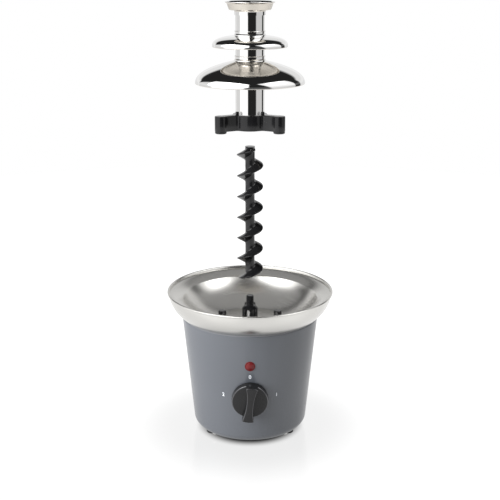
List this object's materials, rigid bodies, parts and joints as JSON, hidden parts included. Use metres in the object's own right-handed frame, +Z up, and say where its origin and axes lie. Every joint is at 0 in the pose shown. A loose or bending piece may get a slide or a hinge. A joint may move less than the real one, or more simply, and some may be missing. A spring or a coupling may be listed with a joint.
{
  "type": "chocolate fountain",
  "caption": "Small chocolate fountain with a heated steel bowl on a tapered housing, a rotary switch, a lift-off auger and a lift-off tower of domed tiers.",
  "frame": {"origin": "on the table, below the middle of the bowl and the housing", "axes": "+Z up along the drive shaft, the knob faces -Y and +X is to its right, seen from the front"},
  "size_m": [0.185, 0.185, 0.4769],
  "materials": {
    "housing_plastic": "glossy slate grey moulding",
    "bowl_steel": "satin stainless sheet",
    "tower_chrome": "polished stainless",
    "black_plastic": "satin black moulding",
    "knob_plastic": "black moulding with a soft gloss",
    "foot_rubber": "matt black rubber",
    "lamp_red": "clear red lens",
    "bright_steel": "zinc plated steel",
    "cast_aluminium": "cast aluminium",
    "silicone": "red silicone",
    "element_sheath": "oxidised sheath",
    "ceramic": "white ceramic",
    "switch_plastic": "dark moulding",
    "mica": "mica sheet",
    "gear_plastic": "natural acetal",
    "motor_steel": "zinc plated can",
    "ferrite": "sintered ferrite",
    "pinion_brass": "cut brass",
    "winding_copper": "copper winding on iron"
  },
  "bodies": {
    "base": {"housing": "housing_plastic", "bottom_cover": "housing_plastic", "cover_screws": "bright_steel", "rubber_feet": "foot_rubber", "chassis_screws": "bright_steel", "bowl": "bowl_steel", "bowl_gasket": "foot_rubber", "tower_pegs": "black_plastic", "standoffs": "bright_steel", "standoff_screws": "bright_steel", "bearing_pedestal": "cast_aluminium", "pedestal_gasket": "silicone", "shaft_seal": "silicone", "heater_plate": "cast_aluminium", "heater_element": "element_sheath", "heater_terminals": "ceramic", "thermostat": "switch_plastic", "thermal_fuse": "ceramic", "insulation_disc": "mica", "chassis_plate": "bright_steel", "gearbox_lid": "gear_plastic", "gearbox_tray": "gear_plastic", "gearbox_screws": "bright_steel", "idler_pin": "bright_steel", "motor_can": "motor_steel", "motor_magnets": "ferrite", "motor_cap": "switch_plastic", "motor_screws": "bright_steel", "switch_body": "switch_plastic", "switch_nut": "bright_steel", "lamp_lens": "lamp_red", "lamp_holder": "black_plastic", "cord_gland": "black_plastic", "gland_nut": "black_plastic", "terminal_block": "gear_plastic"},
    "spindle": {"drive_shaft": "bright_steel", "output_gear": "gear_plastic", "shaft_clip": "bright_steel", "drive_hub": "black_plastic"},
    "idler": {"idler_gear": "gear_plastic"},
    "rotor": {"motor_shaft": "bright_steel", "motor_pinion": "pinion_brass", "motor_armature": "winding_copper"},
    "knob": {"knob": "knob_plastic", "switch_shaft": "bright_steel"},
    "auger": {"auger": "black_plastic"},
    "tower": {"tower_foot": "black_plastic", "tower_tube": "tower_chrome", "lower_tier": "tower_chrome", "middle_tier": "tower_chrome", "crown": "tower_chrome"}
  },
  "joints": [
    {"name": "knob_turn", "type": "hinge", "parent": "base", "child": "knob", "pos_m": [0, -0.06879, 0.0615], "axis": [0, -0.9951, -0.0985], "range_deg": [-83.5, 96.5]},
    {"name": "drive_spin", "type": "hinge", "parent": "base", "child": "spindle", "pos_m": [0, 0, 0.1], "axis": [0, 0, 1], "continuous": true},
    {"name": "idler_spin", "type": "hinge", "parent": "base", "child": "idler", "pos_m": [0, 0.028, 0.1], "axis": [0, 0, 1], "continuous": true},
    {"name": "motor_spin", "type": "hinge", "parent": "base", "child": "rotor", "pos_m": [-0.0198, 0.0082, 0.08], "axis": [0, 0, 1], "continuous": true},
    {"name": "auger_lift", "type": "slide", "parent": "spindle", "child": "auger", "axis": [0, 0, 1], "range_m": [-0.035, 0]},
    {"name": "tower_lift", "type": "slide", "parent": "base", "child": "tower", "axis": [0, 0, 1], "range_m": [-0.2075, 0]}
  ],
  "couplings": [
    {"joint": "idler_spin", "follows": "motor_spin", "ratio": -0.33333},
    {"joint": "drive_spin", "follows": "motor_spin", "ratio": 0.11111}
  ]
}
